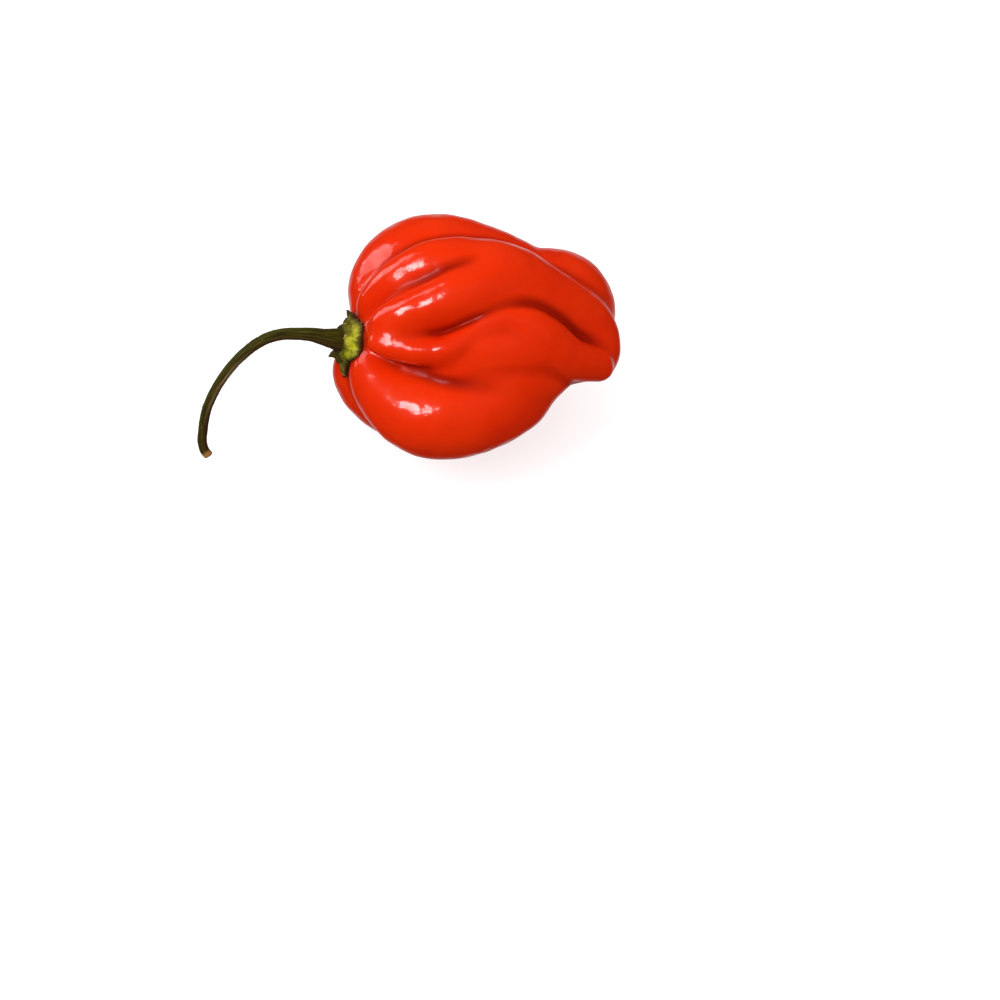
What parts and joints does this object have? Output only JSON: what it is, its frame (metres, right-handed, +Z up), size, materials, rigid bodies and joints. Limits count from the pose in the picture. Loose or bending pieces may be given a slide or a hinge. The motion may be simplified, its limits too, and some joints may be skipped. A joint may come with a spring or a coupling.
{
  "type": "chilli pepper",
  "caption": "Fresh lobed red chilli pepper of the lantern kind lying on its side, with a ragged green calyx and a long curved stalk.",
  "frame": {"origin": "middle of the flat spot under the pod's lowest lobe, on the surface the pod lies on", "axes": "+X from the stalk towards the pod's tip, +Z up, -Z out of the flat spot"},
  "size_m": [0.0744, 0.0448, 0.0381],
  "materials": {
    "pod_skin": "taut waxy skin, glossy",
    "calyx_green": "dull fleshy green, browned edges",
    "stem_green": "dull ribbed olive brown, dry tan cut end"
  },
  "bodies": {
    "root": {"pod": "pod_skin", "calyx": "calyx_green", "stem": "stem_green"}
  },
  "joints": []
}
